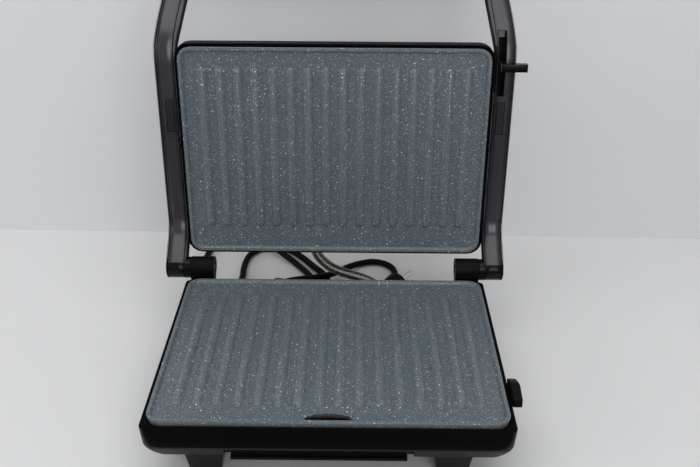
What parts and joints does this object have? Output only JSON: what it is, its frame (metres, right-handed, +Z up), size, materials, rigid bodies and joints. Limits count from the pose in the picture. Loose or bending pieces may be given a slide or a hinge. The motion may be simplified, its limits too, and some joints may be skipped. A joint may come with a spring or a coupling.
{
  "type": "panini press",
  "caption": "Two-plate panini press standing open, with ribbed speckled plates, a floating lid on two bent arms, and a drip tray.",
  "frame": {"origin": "on the ground under the middle of the press's outline, with the lid open and the power cord and plug left out", "axes": "+X to the right seen from the front, -Y out of the front where the food goes in, +Z up"},
  "size_m": [0.3493, 0.4012, 0.3418],
  "materials": {
    "stone_coating": "speckled non-stick coating on cast aluminium, satin",
    "gloss_black": "glossy moulded plastic",
    "matte_black": "fine grained moulded plastic",
    "dark_satin": "satin painted plastic",
    "brushed_steel": "brushed along its length",
    "bright_steel": "bright",
    "bare_aluminium": "bare sheet",
    "heater_sheath": "dull sheath",
    "black_rubber": "matte",
    "cord_black": "satin jacket",
    "ceramic_white": "glazed",
    "lens_red": "clear tinted",
    "lens_green": "clear tinted"
  },
  "bodies": {
    "base": {"base_housing": "gloss_black", "bottom_cover": "matte_black", "stop_catch": "matte_black", "terminal_block": "ceramic_white", "thermal_fuse": "ceramic_white", "cord_strain_relief": "black_rubber", "lead_gland_base": "matte_black", "power_cord": "cord_black", "plug_body": "cord_black", "plug_pin_1": "bright_steel", "plug_pin_2": "bright_steel", "lead_conduit": "bright_steel", "lower_plate": "stone_coating", "leg_front_left": "gloss_black", "foot_pad_front_left": "black_rubber", "leg_screw_front_left": "bright_steel", "leg_front_right": "gloss_black", "foot_pad_front_right": "black_rubber", "leg_screw_front_right": "bright_steel", "leg_rear_left": "gloss_black", "foot_pad_rear_left": "black_rubber", "leg_screw_rear_left": "bright_steel", "leg_rear_right": "gloss_black", "foot_pad_rear_right": "black_rubber", "leg_screw_rear_right": "bright_steel", "lower_heater": "heater_sheath", "lower_reflector": "bare_aluminium", "lower_thermostat": "bright_steel", "hinge_bracket_left": "matte_black", "hinge_bracket_right": "matte_black"},
    "arms": {"handle_rod": "bright_steel", "handle_grip": "matte_black", "slider_spring": "bright_steel", "hinge_pin_left": "bright_steel", "hinge_washer_left": "gloss_black", "hinge_cap_left": "gloss_black", "arm_left": "dark_satin", "arm_trim_left": "brushed_steel", "arm_screw_cover_left": "matte_black", "lid_pivot_pin_left": "bright_steel", "hinge_pin_right": "bright_steel", "hinge_washer_right": "gloss_black", "hinge_cap_right": "gloss_black", "arm_right": "dark_satin", "arm_trim_right": "brushed_steel", "arm_screw_cover_right": "matte_black", "lid_pivot_pin_right": "bright_steel"},
    "lid": {"upper_plate": "stone_coating", "upper_heater": "heater_sheath", "upper_reflector": "bare_aluminium", "upper_thermostat": "bright_steel", "lid_frame": "gloss_black", "lid_cover": "brushed_steel", "lead_gland_lid": "matte_black", "power_lens": "lens_red", "ready_lens": "lens_green", "pivot_bush_left": "matte_black", "pivot_bush_right": "matte_black"},
    "slider": {"stop_slider": "matte_black"},
    "tray": {"drip_tray": "matte_black"}
  },
  "joints": [
    {"name": "arm_hinge", "type": "hinge", "parent": "base", "child": "arms", "pos_m": [-0.003, 0.056, 0.069], "axis": [1, 0, 0], "range_deg": [0, 95], "deforming": ["lead_conduit"]},
    {"name": "lid_tilt", "type": "hinge", "parent": "arms", "child": "lid", "pos_m": [-0.003, 0.09737, 0.18435], "axis": [1, 0, 0], "range_deg": [-3, 3]},
    {"name": "stop_slider_travel", "type": "slide", "parent": "arms", "child": "slider", "axis": [0, 0.0872, 0.9962], "range_m": [-0.0245, 0.0205]},
    {"name": "drip_tray_travel", "type": "slide", "parent": "base", "child": "tray", "axis": [0, -1, 0], "range_m": [0, 0.058]}
  ]
}
